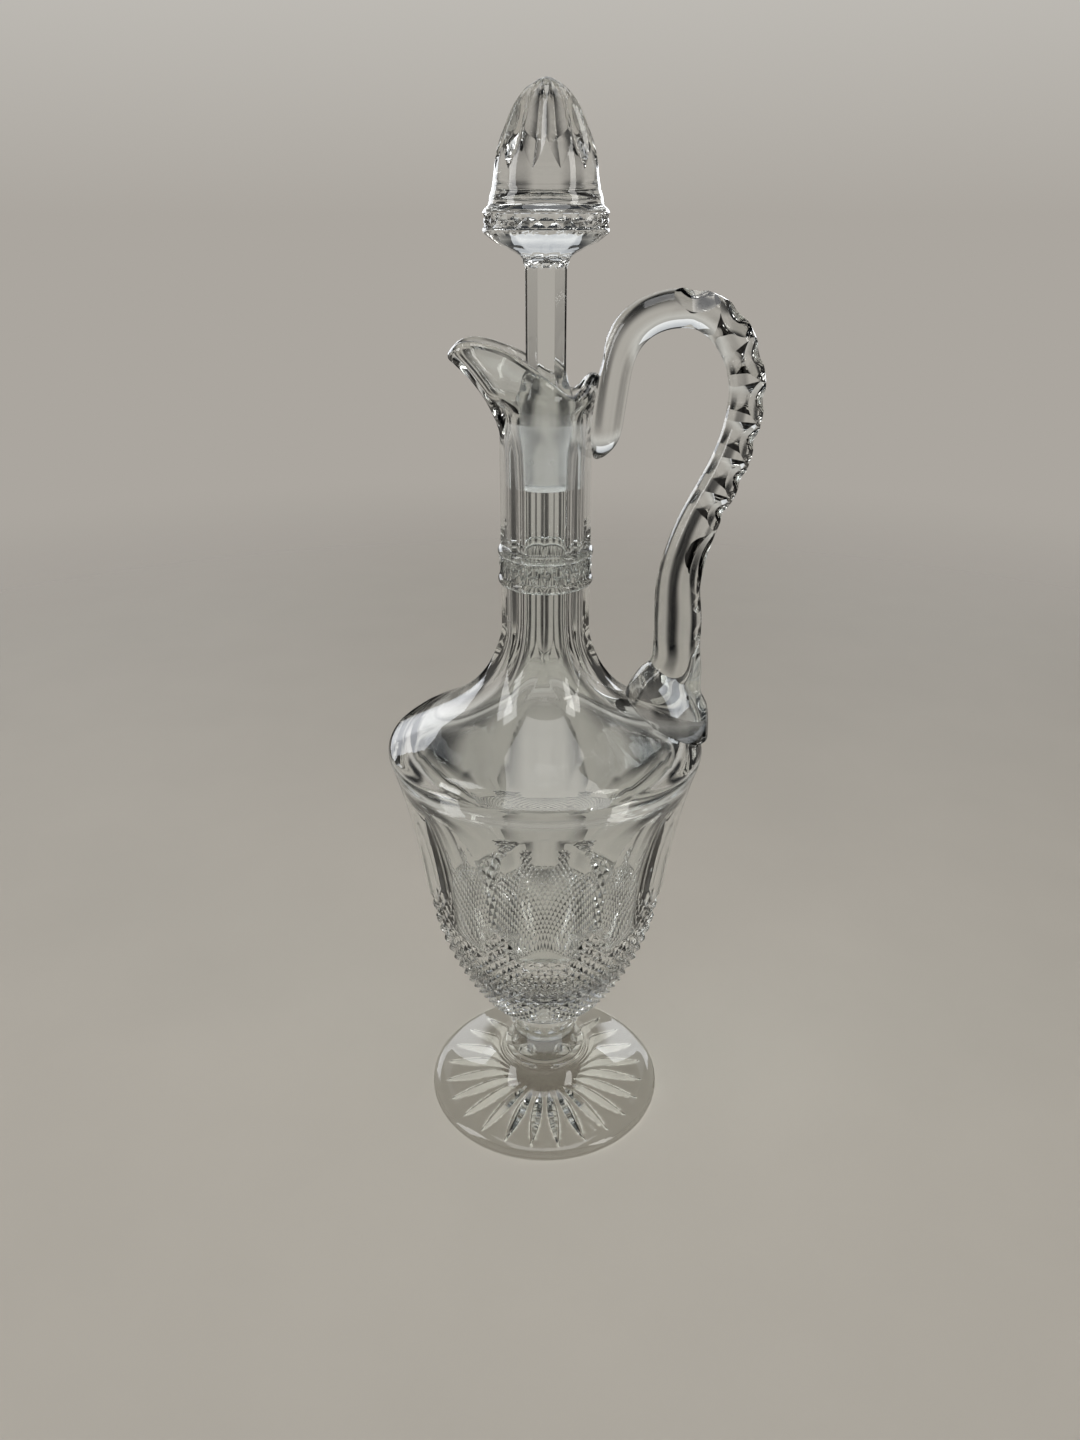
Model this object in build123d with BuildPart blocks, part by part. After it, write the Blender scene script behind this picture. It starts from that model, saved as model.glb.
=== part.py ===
"""Cut-glass claret decanter: a footed jug with a pouring lip and loop handle, and a lift-out stopper.

Millimetres. The origin is the centre of the foot's underside, +Z points up the axis, the pouring
lip points to -X and the handle to +X.
"""

import os
from math import atan2, cos, hypot, pi, radians, sin, sqrt, tan

from build123d import *

os.makedirs("parts", exist_ok=True)

# Foot: a solid cone of glass, flat beneath, with a star of mitre cuts in its underside
foot_radius = 43.3
foot_edge = 4.2
foot_edge_round = 1.9
foot_rise = 17.6
foot_step_radius = 15.3
foot_step_height = 1.9
ray_count = 24
ray_inner = 9.0
ray_outer = 37.5
ray_depth = 2.2
ray_half_angle = 50.0

# Stem: a short waisted post between the foot and the bowl
stem_height = 18.5
stem_seat_radius = 12.8
stem_waist_radius = 11.3

# Bowl, shoulder and neck: each level is a height above the bottom of the bowl
belly_radius = 41.8
belly_level = 54.0
girth_radius = 51.6
girth_level = 105.5
shoulder_radius = 50.2
shoulder_level = 111.6
edge_swell = 1.0
neck_radius = 13.9
neck_level = 155.0
lip_level = 205.0
bowl_wall = 4.6
bowl_floor = 9.0
shoulder_wall = 3.6

# Broad flutes up the bowl
flute_count = 8
flute_depth = 2.0
flute_low = 38.0
flute_high = 101.0
flute_runout = 0.5
flute_hollow_radius = 150.0
flute_sweep = 16.0

# Flat facets up the neck, run out on a curve at the shoulder
neck_sides = 8
neck_turn = -3.0
neck_flat = 12.85
facet_level = 151.0
facet_runout_height = 14.0
facet_runout_width = 4.6

# Ground seat for the stopper, at the top of the bore through the neck
seat_level = 194.7
seat_length = 19.3
seat_radius = 7.2
seat_mouth_radius = 8.2
seat_ledge = 0.5

# Pouring lip: it leaves the neck round and opens to a long spout
lip_root_radius = 13.2
lip_blank_height = 36.0
lip_wall = 3.2
spout_blank_reach = 40.0
lip_back_reach = 21.5
lip_side_reach = 15.6
spout_sharpness = 20
lip_points = 24
lip_sections = 7
tip_reach = 30.2
tip_height = 27.6
crest_reach = 20.7
crest_height = 31.2
slope_height = 23.2
saddle_reach = 8.8
saddle_height = 16.8
back_height = 23.5
rim_ends = ((6.0, 9.0), (4.0, 8.0))
back_setback = 4.2
mid_slope_reach = 1.7
lip_hollow_over = 1.05

# Neck ring: two beads with a narrow band between them
ring_level = 164.6
ring_height = 12.0
ring_band = 0.45
bead_radius = 1.5
bead_stand = 0.9

# Handle: a drawn rod, thick at its pad on the shoulder and thin at its tail on the neck
handle_reach = 64.4
handle_level = 250.8
pad_length = 29.0
pad_width = 24.0
rod_foot = 15.2
rod_waist = 12.4
rod_crown = 10.8
rod_tail = 10.0
tail_tip = 4.0
notch_count = 8
notch_depth = 1.3
notch_radius = 9.0

# Stopper: ground plug, faceted shank, collar and leaf-cut dome
ground_clearance = 0.05
plug_stand = 6.0
plug_flare = 10.0
shank_radius = 6.25
shank_flat = 5.85
shank_sides = 8
shank_length = 27.0
underside_height = 7.0
collar_radius = 17.6
collar_height = 6.6
collar_round = 1.6
neckband_height = 4.6
dome_radius = 15.0
dome_height = 26.8
dome_tip = 0.5
leaf_count = 12
leaf_depth = 1.5

# Levels that follow from the sizes above
stem_base = foot_rise + foot_step_height
bowl_base = stem_base + stem_height
belly_z = bowl_base + belly_level
girth_z = bowl_base + girth_level
shoulder_z = bowl_base + shoulder_level
neck_z = bowl_base + neck_level
lip_z = bowl_base + lip_level
seat_z = bowl_base + seat_level
seat_top_z = seat_z + seat_length
lip_top_z = lip_z + lip_blank_height
handle_top_z = bowl_base + handle_level


def part_way(a, b, share_across, share_up):
    """A point between a and b, with its own share of the way across and up."""
    return (a[0] + (b[0] - a[0]) * share_across, a[1] + (b[1] - a[1]) * share_up)


def bowl_side(inset, drop, top_radius):
    """Control points of the flare, the edge and the shoulder, set in from the outside of the glass."""
    belly = (belly_radius - inset, belly_z)
    girth = (girth_radius - inset, girth_z - drop / 2)
    shoulder = (shoulder_radius - inset, shoulder_z - drop)
    neck = (top_radius, neck_z)
    edge_low = (girth[0] + edge_swell, girth[1] + 3 * edge_swell)
    edge_high = (shoulder[0] + 2.3 * edge_swell, shoulder[1] - 1.25 * edge_swell)
    flare = [belly, part_way(belly, girth, 0.286, 0.33), part_way(belly, girth, 0.43, 0.66), girth]
    edge = [girth, edge_low, edge_high, shoulder]
    slope = [shoulder, part_way(shoulder, neck, 0.474, 0.217), part_way(shoulder, neck, 1.0, 0.42), neck]
    return [flare, edge, slope]


def bezier_point(points, t):
    """The point at t on a cubic curve with four control points."""
    weights = ((1 - t) ** 3, 3 * t * (1 - t) ** 2, 3 * t * t * (1 - t), t**3)
    return tuple(sum(w * p[axis] for w, p in zip(weights, points)) for axis in (0, 1))


def radius_at(runs, level):
    """The radius of an outline at a height, found by halving along the run that holds it."""
    run = next(points for points in runs if points[3][1] >= level)
    low, high = 0.0, 1.0
    for _ in range(40):
        middle = (low + high) / 2
        if bezier_point(run, middle)[1] < level:
            low = middle
        else:
            high = middle
    return bezier_point(run, low)[0]


bowl_seat = (stem_seat_radius, bowl_base)
bowl_belly = (belly_radius, belly_z)
bowl_under = [
    bowl_seat,
    part_way(bowl_seat, bowl_belly, 0.386, 0.074),
    part_way(bowl_seat, bowl_belly, 0.852, 0.519),
    bowl_belly,
]
bowl_runs = [bowl_under] + bowl_side(0, 0, neck_radius)


def lip_reach(angle, share):
    """How far the lip's outside stands from the axis, at an angle from the handle and a share of its rise."""
    opening = share**2
    to_spout = ((1 - cos(angle)) / 2) ** spout_sharpness
    to_handle = ((1 + cos(angle)) / 2) ** 4
    side = lip_root_radius + (lip_side_reach - lip_root_radius) * opening
    spout = (spout_blank_reach - lip_side_reach) * opening * to_spout
    back = (lip_back_reach - lip_side_reach) * opening * to_handle
    return side + spout + back


def lip_ring(share, wall):
    """The closed run of points round the lip at a share of its rise, set in by a wall square to the glass."""
    step = 0.01
    ring = []
    for index in range(lip_points):
        angle = 2 * pi * index / lip_points
        rise = lip_blank_height * 2 * step
        slope = (lip_reach(angle, share + step) - lip_reach(angle, share - step)) / rise
        reach = lip_reach(angle, share) - wall * sqrt(1 + slope**2)
        ring.append((reach * cos(angle), reach * sin(angle)))
    return ring


# Cutter for one flute: a barrel like the rim of a grinding wheel, deepest half way up the flute
flute_foot = (radius_at(bowl_runs, bowl_base + flute_low), bowl_base + flute_low)
flute_head = (radius_at(bowl_runs, bowl_base + flute_high), bowl_base + flute_high)
lean = atan2(flute_head[0] - flute_foot[0], flute_head[1] - flute_foot[1])
flute_middle = part_way(flute_foot, flute_head, 0.5, 0.5)


def out_from(point, distance):
    """A point moved square off the bowl's leaning side."""
    return (point[0] + distance * cos(lean), point[1] - distance * sin(lean))


with BuildPart() as flute_cutter:
    with BuildSketch(Plane.XZ):
        with BuildLine():
            low = out_from(flute_foot, flute_runout)
            high = out_from(flute_head, flute_runout)
            clear = 4 * flute_depth
            ThreePointArc(low, out_from(flute_middle, -flute_depth), high)
            Polyline(high, out_from(high, clear), out_from(low, clear), low)
        make_face()
    hub = out_from(flute_middle, flute_hollow_radius - flute_depth)
    barrel_axis = Axis((hub[0], 0, hub[1]), (sin(lean), 0, cos(lean)))
    revolve(axis=barrel_axis, revolution_arc=flute_sweep)

# Cutter for one neck facet: flat up the neck, and curving out at the shoulder
with BuildPart() as facet_cutter:
    with BuildSketch(Plane.XZ):
        with BuildLine():
            facet_z = bowl_base + facet_level
            runout = (neck_flat + facet_runout_width, facet_z - facet_runout_height)
            beyond = neck_radius + 3 * facet_runout_width
            Line((neck_flat, lip_z), (neck_flat, facet_z))
            Bezier((neck_flat, facet_z), (neck_flat, facet_z - facet_runout_height / 2), runout)
            Polyline(runout, (beyond, runout[1]), (beyond, lip_z), (neck_flat, lip_z))
        make_face()
    extrude(amount=neck_radius, both=True)

# The jug's outside as one full solid, with its flutes and facets
with BuildPart() as jug_outside:
    with BuildSketch(Plane.XZ):
        with BuildLine():
            Line((0, bowl_base), bowl_seat)
            for points in bowl_runs:
                Bezier(*points)
            Polyline((neck_radius, neck_z), (neck_radius, lip_z), (0, lip_z), (0, bowl_base))
        make_face()
    revolve(axis=Axis.Z)
    for flute in range(flute_count):
        placed = flute_cutter.part.rotate(barrel_axis, -flute_sweep / 2)
        add(placed.rotate(Axis.Z, 360 / flute_count * flute), mode=Mode.SUBTRACT)
    for side in range(neck_sides):
        turn = neck_turn + 360 / neck_sides * (side + 0.5)
        add(facet_cutter.part.rotate(Axis.Z, turn), mode=Mode.SUBTRACT)

with BuildPart() as lip_blank:
    for section in range(lip_sections):
        share = section / (lip_sections - 1)
        with BuildSketch(Plane.XY.offset(lip_z + lip_blank_height * share)):
            with BuildLine():
                Spline(*lip_ring(share, 0), periodic=True)
            make_face()
    loft()

with BuildPart() as lip_hollow:
    mouth_share = (seat_top_z - lip_z) / lip_blank_height
    with BuildSketch(Plane.XY.offset(seat_top_z)):
        with BuildLine():
            mouth = [2 * pi * index / lip_points for index in range(lip_points)]
            ledge_radius = seat_mouth_radius + seat_ledge
            Spline(*[(ledge_radius * cos(a), ledge_radius * sin(a)) for a in mouth], periodic=True)
        make_face()
    for section in range(1, lip_sections):
        share = mouth_share + (lip_hollow_over - mouth_share) * section / (lip_sections - 1)
        with BuildSketch(Plane.XY.offset(lip_z + lip_blank_height * share)):
            with BuildLine():
                Spline(*lip_ring(share, lip_wall), periodic=True)
            make_face()
    loft()

# What is cut off above the rim, seen from the side: a dip at the tip, a crest, a saddle and a raised back
with BuildPart() as above_rim:
    with BuildSketch(Plane.XZ):
        with BuildLine():
            rim = [
                (-tip_reach - rim_ends[0][0], lip_z + tip_height - rim_ends[0][1]),
                (-tip_reach, lip_z + tip_height),
                (-crest_reach, lip_z + crest_height),
                (-mid_slope_reach, lip_z + slope_height),
                (saddle_reach, lip_z + saddle_height),
                (lip_back_reach - back_setback, lip_z + back_height),
                (lip_back_reach + rim_ends[1][0], lip_z + back_height + rim_ends[1][1]),
            ]
            Spline(*rim)
            over = lip_top_z + lip_blank_height
            far = 2 * spout_blank_reach
            Polyline(rim[-1], (far, rim[-1][1]), (far, over), (-far, over), (-far, rim[0][1]), rim[0])
        make_face()
    extrude(amount=spout_blank_reach, both=True)

with BuildPart() as jug_form:
    add(jug_outside.part)
    add(lip_blank.part)
    add(above_rim.part, mode=Mode.SUBTRACT)

with BuildPart() as jug_hollow:
    with BuildSketch(Plane.XZ):
        with BuildLine():
            floor = (0, bowl_base + bowl_floor)
            inner = bowl_side(bowl_wall, shoulder_wall, seat_radius)
            belly = inner[0][0]
            Bezier(floor, part_way(floor, belly, 0.55, 0), part_way(floor, belly, 0.93, 0.42), belly)
            for points in inner:
                Bezier(*points)
            opened_z = seat_top_z + seat_ledge
            Polyline((seat_radius, neck_z), (seat_radius, seat_z), (seat_mouth_radius, seat_top_z))
            Line((seat_mouth_radius, seat_top_z), (seat_mouth_radius, opened_z))
            Polyline((seat_mouth_radius, opened_z), (0, opened_z), floor)
        make_face()
    revolve(axis=Axis.Z)

# Bowl, shoulder, neck and lip: one blown piece
with BuildPart() as jug_bowl:
    add(jug_form.part)
    add(jug_hollow.part, mode=Mode.SUBTRACT)
    add(lip_hollow.part, mode=Mode.SUBTRACT)
jug_bowl.part.label = "jug_bowl"
export_step(jug_bowl.part, "parts/jug_bowl.step")

# Neck ring: a trail of glass laid round the neck and cut, shaped against the neck's facets
with BuildPart() as neck_ring:
    ring_z = bowl_base + ring_level
    with BuildSketch(Plane.XZ):
        with Locations((neck_radius + ring_band / 2 - bead_radius, ring_z + ring_height / 2)):
            Rectangle(2 * bead_radius + ring_band, ring_height - 2 * bead_radius)
        bead_centre = neck_radius + bead_stand - bead_radius
        with Locations((bead_centre, ring_z + bead_radius), (bead_centre, ring_z + ring_height - bead_radius)):
            Circle(bead_radius)
    revolve(axis=Axis.Z)
    add(jug_outside.part, mode=Mode.SUBTRACT)
neck_ring.part.label = "neck_ring"
export_step(neck_ring.part, "parts/neck_ring.step")

# Stem: a short waisted post
with BuildPart() as stem:
    with BuildSketch(Plane.XZ):
        with BuildLine():
            Line((0, stem_base), (stem_seat_radius, stem_base))
            waist = (2 * stem_waist_radius - stem_seat_radius, (stem_base + bowl_base) / 2)
            Bezier((stem_seat_radius, stem_base), waist, bowl_seat)
            Polyline(bowl_seat, (0, bowl_base), (0, stem_base))
        make_face()
    revolve(axis=Axis.Z)
stem.part.label = "stem"
export_step(stem.part, "parts/stem.step")

# Foot: a cone with a rounded edge, a small step under the stem, and the star beneath
with BuildPart() as ray_cutter:
    ray_half = (ray_outer - ray_inner) / 2
    wheel_radius = (ray_half**2 + ray_depth**2) / (2 * ray_depth)
    wheel_depth = 3 * ray_depth
    wheel_x = ray_inner + ray_half
    wheel_z = ray_depth - wheel_radius
    with BuildSketch(Plane.YZ.offset(wheel_x)):
        with BuildLine():
            spread = wheel_depth * tan(radians(ray_half_angle))
            Polyline(
                (0, ray_depth),
                (spread, ray_depth - wheel_depth),
                (-spread, ray_depth - wheel_depth),
                close=True,
            )
        make_face()
    revolve(axis=Axis((wheel_x, 0, wheel_z), (0, 1, 0)))

with BuildPart() as foot:
    with BuildSketch(Plane.XZ):
        with BuildLine():
            edge = (foot_radius, foot_edge)
            step = (foot_step_radius, foot_rise)
            Polyline((0, 0), (foot_radius, 0), edge)
            Bezier(edge, part_way(edge, step, 0.48, 0.17), part_way(edge, step, 0.89, 0.47), step)
            Polyline(step, (foot_step_radius - foot_step_height / 2, stem_base), (0, stem_base), (0, 0))
        make_face()
    revolve(axis=Axis.Z)
    outer_edges = foot.edges().filter_by(GeomType.CIRCLE).sort_by(SortBy.RADIUS)[-2:]
    fillet(outer_edges, foot_edge_round)
    for ray in range(ray_count):
        add(ray_cutter.part.rotate(Axis.Z, 360 / ray_count * (ray + 0.5)), mode=Mode.SUBTRACT)
foot.part.label = "foot"
export_step(foot.part, "parts/foot.step")

# Handle: sections across the rod at stations from inside the shoulder, up over the top and down the neck.
# Each station gives its share of the reach and of the rise, its width in the handle's plane and across it.
stations = [
    (0.517, -0.02, pad_length, pad_width),
    (0.510, 0.04, pad_length, pad_width),
    (0.507, 0.089, pad_length * 0.94, pad_width * 0.94),
    (0.522, 0.125, pad_length * 0.81, pad_width * 0.84),
    (0.558, 0.168, rod_foot * 1.18, rod_foot * 1.15),
    (0.564, 0.218, rod_foot, rod_foot),
    (0.562, 0.290, rod_foot, rod_foot),
    (0.552, 0.366, rod_foot * 0.92, rod_foot * 0.94),
    (0.580, 0.434, rod_waist * 1.08, rod_waist * 1.1),
    (0.673, 0.534, rod_waist, rod_waist),
    (0.795, 0.628, rod_waist * 0.95, rod_waist),
    (0.866, 0.714, rod_crown, rod_crown * 1.1),
    (0.890, 0.793, rod_crown, rod_crown * 1.1),
    (0.842, 0.869, rod_crown, rod_crown * 1.1),
    (0.733, 0.928, rod_crown * 1.05, rod_crown * 1.1),
    (0.606, 0.955, rod_crown, rod_crown * 1.1),
    (0.480, 0.960, rod_crown, rod_crown * 1.1),
    (0.340, 0.950, rod_crown, rod_crown * 1.1),
    (0.216, 0.921, rod_crown, rod_crown * 1.1),
    (0.147, 0.876, rod_tail, rod_tail * 1.15),
    (0.109, 0.815, rod_tail, rod_tail * 1.2),
    (0.085, 0.750, rod_tail, rod_tail * 1.2),
    (0.061, 0.696, rod_tail * 0.88, rod_tail),
    (0.014, 0.653, tail_tip, tail_tip),
]
handle_spots = [
    (
        neck_radius + across * (handle_reach - neck_radius),
        shoulder_z + up * (handle_top_z - shoulder_z),
    )
    for across, up, _, _ in stations
]


def rod_direction(index):
    """The unit direction of the rod at a station, from the stations on either side."""
    before = handle_spots[max(index - 1, 0)]
    after = handle_spots[min(index + 1, len(handle_spots) - 1)]
    run = (after[0] - before[0], after[1] - before[1])
    length = hypot(*run)
    return (run[0] / length, run[1] / length)


# The shoulder and the neck as plain solids, which the rod's pad and tail are laid against
with BuildPart() as shoulder_form:
    with BuildSketch(Plane.XZ):
        with BuildLine():
            slope = bowl_runs[3]
            brim = (shoulder_radius + pad_length / 3, shoulder_z)
            Bezier(*slope)
            Polyline(slope[3], (0, neck_z), (0, belly_z), (brim[0], belly_z), brim, slope[0])
        make_face()
    revolve(axis=Axis.Z)

with BuildPart() as neck_form:
    with Locations((0, 0, (neck_z + lip_z) / 2)):
        Cylinder(neck_radius, lip_z - neck_z)
    for side in range(neck_sides):
        turn = neck_turn + 360 / neck_sides * (side + 0.5)
        add(facet_cutter.part.rotate(Axis.Z, turn), mode=Mode.SUBTRACT)

# The rod's facets lie on its outer side, from the crown down to the waist
first_notch = 15
last_notch = 7

# Stations where the pad ends and the tail starts
pad_end = 6
tail_start = 18


def rod_section(index):
    """The plane across the rod at a station."""
    spot = handle_spots[index]
    along = rod_direction(index)
    return Plane((spot[0], 0, spot[1]), x_dir=(along[1], 0, -along[0]), z_dir=(along[0], 0, along[1]))


with BuildPart() as handle_pad:
    for index in range(pad_end + 1):
        with BuildSketch(rod_section(index)):
            Ellipse(stations[index][2] / 2, stations[index][3] / 2)
    loft()
    add(shoulder_form.part, mode=Mode.SUBTRACT)

with BuildPart() as handle_tail:
    for index in range(tail_start, len(stations)):
        with BuildSketch(rod_section(index)):
            Ellipse(stations[index][2] / 2, stations[index][3] / 2)
    loft()
    add(lip_blank.part, mode=Mode.SUBTRACT)
    add(neck_form.part, mode=Mode.SUBTRACT)

with BuildPart() as handle:
    for index in range(pad_end, tail_start + 1):
        with BuildSketch(rod_section(index)):
            Ellipse(stations[index][2] / 2, stations[index][3] / 2)
    loft()
    for notch in range(notch_count):
        place = first_notch + (last_notch - first_notch) * notch / (notch_count - 1)
        index = int(place)
        share = place - index
        after = min(index + 1, len(stations) - 1)
        spot = part_way(handle_spots[index], handle_spots[after], share, share)
        along = rod_direction(index)
        width = stations[index][2] + (stations[after][2] - stations[index][2]) * share
        stand = width / 2 - notch_depth + notch_radius
        centre = (spot[0] + along[1] * stand, 0, spot[1] - along[0] * stand)
        with Locations(Location(centre, (90, 0, 0))):
            Cylinder(notch_radius, pad_width, mode=Mode.SUBTRACT)
    add(handle_pad.part)
    add(handle_tail.part)
handle.part.label = "handle"
export_step(handle.part, "parts/handle.step")


def dome_reach(share):
    """The radius of the stopper's dome at a share of its height."""
    return max(dome_radius * (1 - share**1.6) ** 0.55, dome_tip)


def leaf_ring(share):
    """A star-shaped ring round the dome: points on the dome's surface, with the cuts between them."""
    swell = sin(pi * min(max((share - 0.1) / 0.9, 0.0), 1.0)) ** 0.7
    reach = dome_reach(share)
    depth = min(leaf_depth * swell, reach / 4)
    ring = []
    for corner in range(2 * leaf_count):
        angle = pi * corner / leaf_count
        distance = reach - depth * (corner % 2)
        ring.append((distance * cos(angle), distance * sin(angle)))
    return ring


# Stopper: one piece of solid glass, its plug ground to fit the seat in the neck
with BuildPart() as stopper:
    taper = (seat_mouth_radius - seat_radius) / seat_length
    plug_top_z = seat_top_z + plug_stand
    plug_low = (seat_radius - ground_clearance, seat_z)
    plug_high = (seat_mouth_radius + taper * plug_stand - ground_clearance, plug_top_z)
    shank_z = plug_top_z + plug_flare
    underside_z = shank_z + shank_length
    collar_z = underside_z + underside_height
    collar_top_z = collar_z + collar_height
    dome_z = collar_top_z + neckband_height
    with BuildSketch(Plane.XZ):
        with BuildLine():
            Polyline((0, dome_z), (0, seat_z), plug_low, plug_high)
            Polyline(plug_high, (shank_radius, shank_z), (shank_radius, underside_z))
            Polyline((shank_radius, underside_z), (collar_radius - collar_round, collar_z))
            Polyline((collar_radius - collar_round, collar_z), (collar_radius, collar_z + collar_round))
            Polyline((collar_radius, collar_z + collar_round), (collar_radius, collar_top_z - collar_round))
            Polyline((collar_radius, collar_top_z - collar_round), (dome_radius + 1, collar_top_z))
            Polyline((dome_radius + 1, collar_top_z), (dome_radius, dome_z), (0, dome_z))
        make_face()
    revolve(axis=Axis.Z)
    with Locations((0, 0, (shank_z + underside_z) / 2)):
        with PolarLocations(shank_flat + collar_round, shank_sides):
            Box(2 * collar_round, shank_radius, shank_length - 2 * collar_round, mode=Mode.SUBTRACT)
    for share in (0, 0.1, 0.2, 0.34, 0.47, 0.62, 0.76, 0.87, 0.95, 1):
        with BuildSketch(Plane.XY.offset(dome_z + dome_height * share)):
            with BuildLine():
                Polyline(*leaf_ring(share), close=True)
            make_face()
    loft(ruled=True)
stopper.part.label = "stopper"
export_step(stopper.part, "parts/stopper.step")
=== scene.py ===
# %% [markdown]
# # A cut-glass decanter with a pouring lip, a loop handle and a lift-out stopper
# The decanter is clear lead crystal, so nearly all that the eye gets from it comes from its
# shape: every cut bends the light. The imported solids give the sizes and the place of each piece.
# Here each piece is skinned again as a fine closed mesh, with the cuts that the solids leave
# out, and gets the finish that its surface has from the wheel, the polish or the grinding.

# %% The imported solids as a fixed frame
import math

import bpy
import numpy as np
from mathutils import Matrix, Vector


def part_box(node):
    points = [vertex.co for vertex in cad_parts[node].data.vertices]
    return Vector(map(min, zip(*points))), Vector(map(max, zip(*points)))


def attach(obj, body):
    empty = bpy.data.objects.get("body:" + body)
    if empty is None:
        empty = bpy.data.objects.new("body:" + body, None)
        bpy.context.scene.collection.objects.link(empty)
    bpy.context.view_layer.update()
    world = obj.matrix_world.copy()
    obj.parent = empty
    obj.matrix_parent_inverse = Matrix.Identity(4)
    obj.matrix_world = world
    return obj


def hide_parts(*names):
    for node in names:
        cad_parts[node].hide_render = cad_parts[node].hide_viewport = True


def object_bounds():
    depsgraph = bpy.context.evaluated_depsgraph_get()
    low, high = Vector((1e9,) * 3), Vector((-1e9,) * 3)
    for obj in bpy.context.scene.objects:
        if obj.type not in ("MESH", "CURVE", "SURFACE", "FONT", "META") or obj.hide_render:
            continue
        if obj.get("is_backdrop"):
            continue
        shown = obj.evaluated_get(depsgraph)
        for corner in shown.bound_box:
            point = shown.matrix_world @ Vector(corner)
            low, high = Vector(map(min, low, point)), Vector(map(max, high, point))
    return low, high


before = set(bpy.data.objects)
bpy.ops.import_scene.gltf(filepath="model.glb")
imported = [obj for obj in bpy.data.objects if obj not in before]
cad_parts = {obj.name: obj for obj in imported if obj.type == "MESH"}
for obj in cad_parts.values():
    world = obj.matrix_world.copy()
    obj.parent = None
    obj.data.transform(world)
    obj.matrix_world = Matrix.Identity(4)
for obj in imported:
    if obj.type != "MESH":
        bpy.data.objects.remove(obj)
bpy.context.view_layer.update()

MM = 0.001
print("nodes:", sorted(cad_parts))

# %% [markdown]
# ## The camera
# The photograph was taken by hand from about a forearm's length away, a little above the
# neck and looking down, so the foot is seen from above and the stopper nearly level. One camera
# that fits the measured outline has a 27 mm lens and looks 25 degrees down.

# %% Camera at the photograph's place
camera_data = bpy.data.cameras.new("camera")
camera_data.lens = 27.05
camera_data.sensor_width = 36
camera = bpy.data.objects.new("camera", camera_data)
bpy.context.scene.collection.objects.link(camera)
camera.location = (-0.0017, -0.327, 0.307)
camera.rotation_euler = (math.radians(65), 0, 0)
bpy.context.scene.camera = camera
bpy.context.scene.view_settings.view_transform = "Standard"
print("camera at", [round(v, 4) for v in camera.location])

# %% [markdown]
# ## Skinning a closed grid
# Nearly every piece here is round or drawn, so it can be skinned as rows of points, each row
# a closed loop, with a point at both ends where the loops shrink to nothing. Cuts are made
# by a rule for how far the surface stands out at each place. Where two surfaces meet in
# a sharp line, the grid's points near it are first slid onto that line. So the edge is as
# clean as a wheel leaves it, without a boolean and its slivers.

# %% Bezier runs, smooth curves and easing
def bezier(run, steps=160):
    """Points along a cubic curve with four control points."""
    t = np.linspace(0, 1, steps)[:, None]
    p = np.array(run, float)
    return (1 - t) ** 3 * p[0] + 3 * t * (1 - t) ** 2 * p[1] + 3 * t * t * (1 - t) * p[2] + t**3 * p[3]


def smooth_through(knots, values, at):
    """A natural cubic spline through values at the knots."""
    knots, values, at = np.array(knots, float), np.array(values, float), np.asarray(at, float)
    n, gap = len(knots), np.diff(knots)
    system, right = np.eye(n), np.zeros(n)
    for k in range(1, n - 1):
        system[k, k - 1 : k + 2] = gap[k - 1], 2 * (gap[k - 1] + gap[k]), gap[k]
        right[k] = 6 * ((values[k + 1] - values[k]) / gap[k] - (values[k] - values[k - 1]) / gap[k - 1])
    bend = np.linalg.solve(system, right)
    k = np.clip(np.searchsorted(knots, at) - 1, 0, n - 2)
    a, b, h = knots[k + 1] - at, at - knots[k], gap[k]
    return (
        (bend[k] * a**3 + bend[k + 1] * b**3) / (6 * h)
        + (values[k] / h - bend[k] * h / 6) * a
        + (values[k + 1] / h - bend[k + 1] * h / 6) * b
    )


def ease(x):
    """0 below 0, 1 above 1, and a smooth rise between."""
    x = np.clip(x, 0, 1)
    return x * x * (3 - 2 * x)


def lengths(points):
    """How far along a run of points each one lies."""
    return np.concatenate([[0], np.cumsum(np.linalg.norm(np.diff(points, axis=0), axis=1))])


# %% Sliding grid points onto an edge
def slide_to_edge(edge, columns, rows):
    """Moves grid places onto the line where edge(columns, rows) is nought, by half a step at most."""
    c, r, h = columns.copy(), rows.copy(), 0.15
    for _ in range(3):
        here = edge(c, r)
        across = (edge(c + h, r) - edge(c - h, r)) / (2 * h)
        along = (edge(c, r + h) - edge(c, r - h)) / (2 * h)
        size = across**2 + along**2 + 1e-12
        c, r = c - here * across / size, r - here * along / size
    near = (np.abs(c - columns) <= 0.5) & (np.abs(r - rows) <= 0.5)
    near[0], near[-1] = False, False
    return np.where(near, c, columns), np.where(near, r, rows), near


# %% Adding a mesh to the scene
def add_mesh(name, points, faces):
    """A new object with a mesh of points in metres."""
    mesh = bpy.data.meshes.new(name)
    mesh.from_pydata(points.tolist(), [], faces)
    piece = bpy.data.objects.new(name, mesh)
    bpy.context.scene.collection.objects.link(piece)
    print(name, len(faces), "faces")
    return piece


def shade_smooth(piece, sharp):
    """Shades a piece smooth, apart from edges that bend by more than some degrees."""
    mesh = piece.data
    mesh.polygons.foreach_set("use_smooth", np.ones(len(mesh.polygons), bool))
    mesh.set_sharp_from_angle(angle=math.radians(sharp))


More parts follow.
